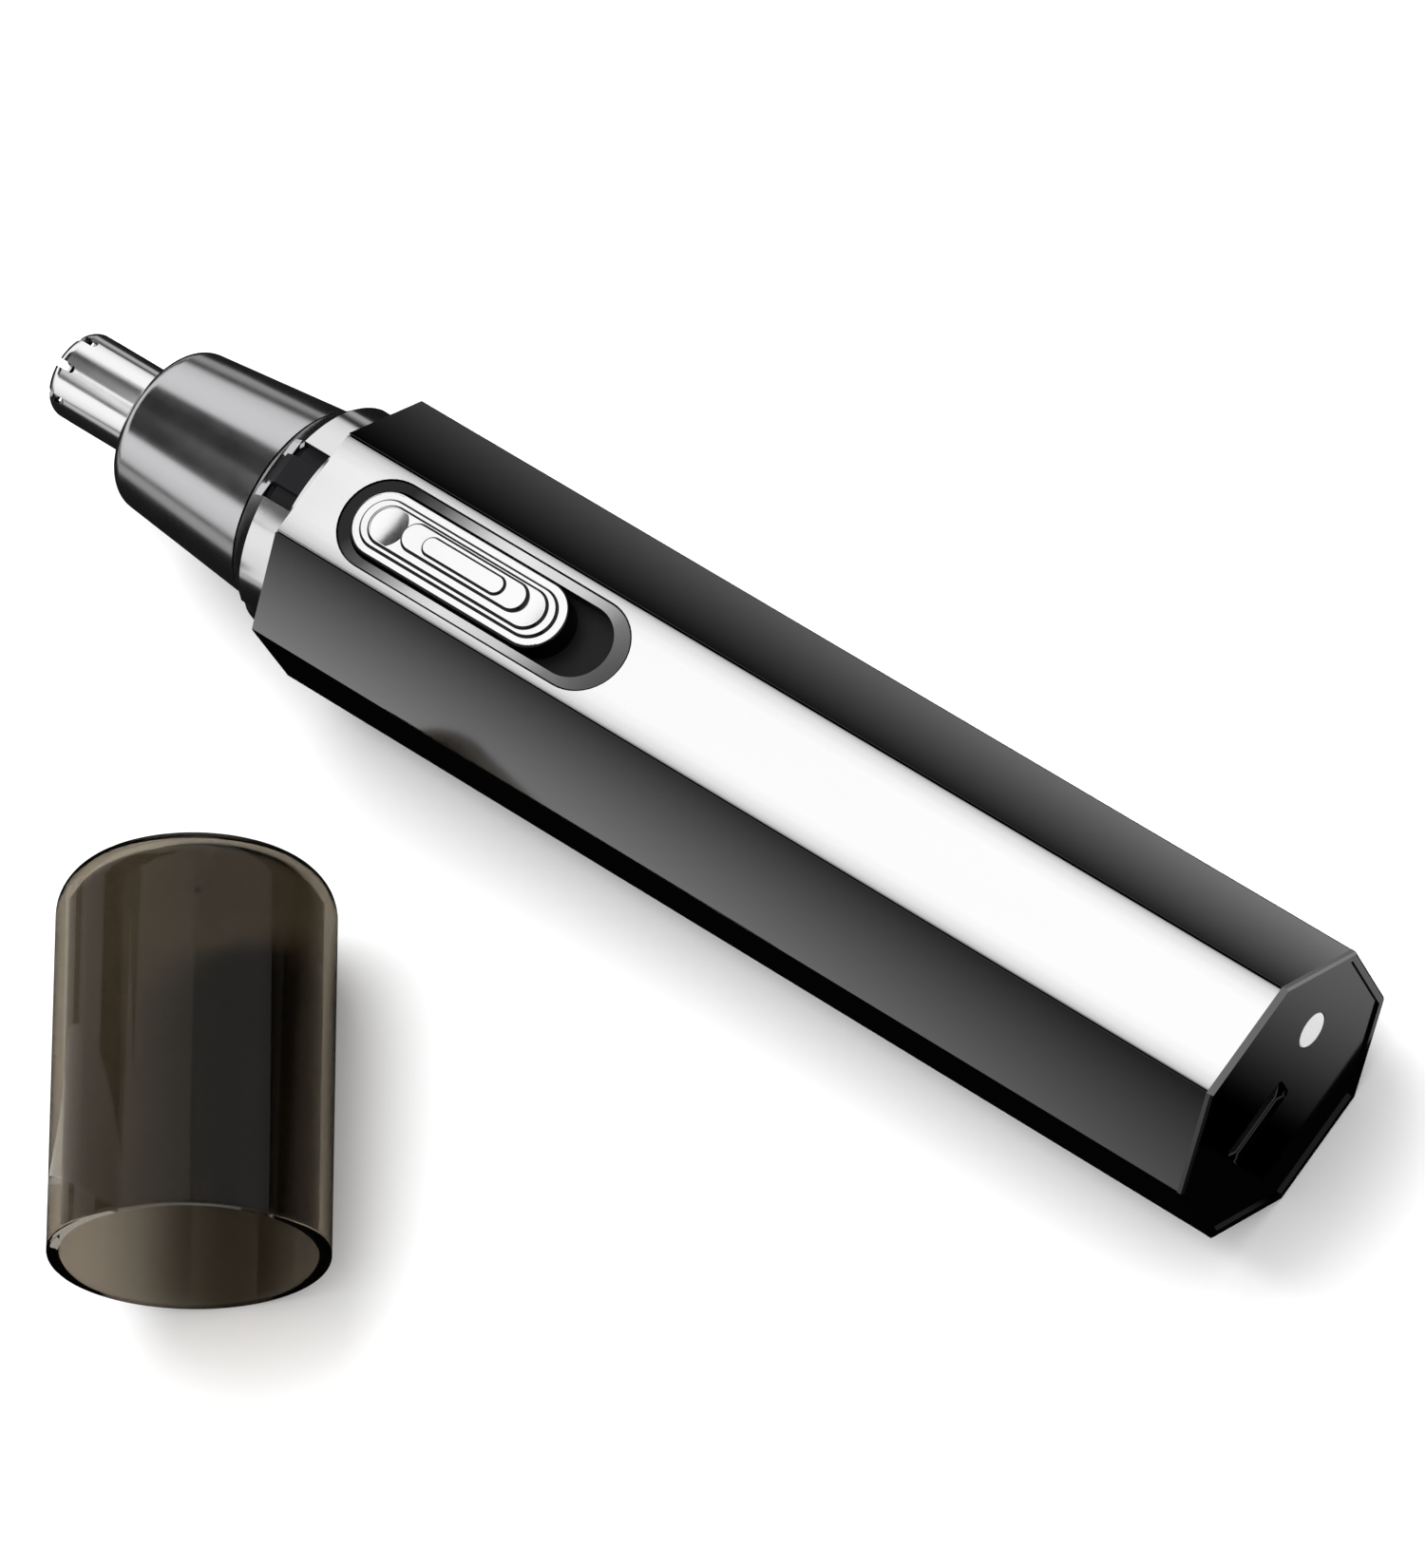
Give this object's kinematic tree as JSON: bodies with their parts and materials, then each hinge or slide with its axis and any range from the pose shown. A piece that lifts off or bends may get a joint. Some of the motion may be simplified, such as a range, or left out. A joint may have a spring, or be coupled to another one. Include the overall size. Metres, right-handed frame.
{
  "type": "nose hair trimmer",
  "caption": "Slim octagonal battery trimmer with a silver sliding switch, a twist-off cone head with a slotted turning cutter, a charging port and a loose clear cap.",
  "frame": {"origin": "centre of the flat back facet, on which the trimmer lies", "axes": "+X along the body towards the cutting tip, +Z out of the switch side, up as it lies, +Y to the left of someone looking along +X"},
  "size_m": [0.1361, 0.0803, 0.0244],
  "materials": {
    "black_gloss": "high-gloss black lacquer",
    "silver_plate": "satin silver",
    "bezel_grey": "dark grey gloss",
    "button_silver": "silver-white paint",
    "panel_black": "gloss black",
    "lamp_white": "milky white",
    "neck_gloss": "gloss black chrome",
    "neck_dark": "satin black",
    "gunmetal": "satin gunmetal",
    "polished_steel": "polished steel",
    "steel": "plain steel",
    "smoke_clear": "clear smoke-brown plastic",
    "black_plastic": "moulded black",
    "white_plastic": "moulded white",
    "battery_wrap": "heat-shrink sleeve",
    "nickel": "nickel plate",
    "board_green": "solder mask",
    "magnet": "ferrite",
    "copper": "enamelled copper",
    "bronze": "sintered bronze",
    "seal_rubber": "soft black",
    "wire_red": "insulation",
    "wire_black": "insulation"
  },
  "bodies": {
    "body": {"base_cap": "panel_black", "battery_button": "nickel", "battery_cell": "battery_wrap", "battery_tabs": "nickel", "board_screws": "steel", "charge_board": "board_green", "charge_led": "lamp_white", "charge_parts": "black_plastic", "charge_wire_negative": "wire_black", "charge_wire_positive": "wire_red", "chassis": "black_plastic", "front_plate": "silver_plate", "guide_screws": "steel", "housing": "black_gloss", "led_window": "lamp_white", "motor_brushes": "copper", "motor_bush_front": "bronze", "motor_bush_rear": "bronze", "motor_can": "steel", "motor_end_bell": "white_plastic", "motor_magnets": "magnet", "motor_screws": "steel", "motor_terminals": "nickel", "motor_wire_negative": "wire_black", "motor_wire_positive": "wire_red", "neck_ring": "neck_gloss", "neck_sleeve": "neck_dark", "slide_switch": "steel", "slider_guide": "black_plastic", "switch_bezel": "bezel_grey", "switch_board": "board_green", "usb_shell": "steel", "usb_tongue": "black_plastic"},
    "switch": {"switch_button": "button_silver", "switch_carriage": "black_plastic", "switch_actuator": "white_plastic"},
    "head": {"head_cone": "gunmetal", "head_seal": "seal_rubber", "cutter_guard": "polished_steel", "guard_retainer": "black_plastic", "spindle_retainer": "black_plastic"},
    "rotor": {"motor_shaft": "steel", "motor_armature": "steel", "motor_windings": "copper", "motor_commutator": "copper", "drive_coupling": "white_plastic"},
    "cutter": {"cutter_spindle": "white_plastic", "cutter_blade": "polished_steel", "cutter_spring": "steel"},
    "cap": {"dust_cap": "smoke_clear"}
  },
  "joints": [
    {"name": "switch_slide", "type": "slide", "parent": "body", "child": "switch", "axis": [-1, 0, 0], "range_m": [0, 0.0045]},
    {"name": "head_twist", "type": "hinge", "parent": "body", "child": "head", "pos_m": [0.06, 0, 0.0115], "axis": [1, 0, 0], "range_deg": [0, 30]},
    {"name": "motor_spin", "type": "hinge", "parent": "body", "child": "rotor", "pos_m": [0.04, 0, 0.0115], "axis": [1, 0, 0], "continuous": true},
    {"name": "cutter_spin", "type": "hinge", "parent": "body", "child": "cutter", "pos_m": [0.07, 0, 0.0115], "axis": [1, 0, 0], "continuous": true},
    {"name": "cap_lift", "type": "slide", "parent": "body", "child": "cap", "axis": [0, 0, 1], "range_m": [0, 0.06]}
  ],
  "couplings": [
    {"joint": "cutter_spin", "follows": "motor_spin", "ratio": 1}
  ]
}
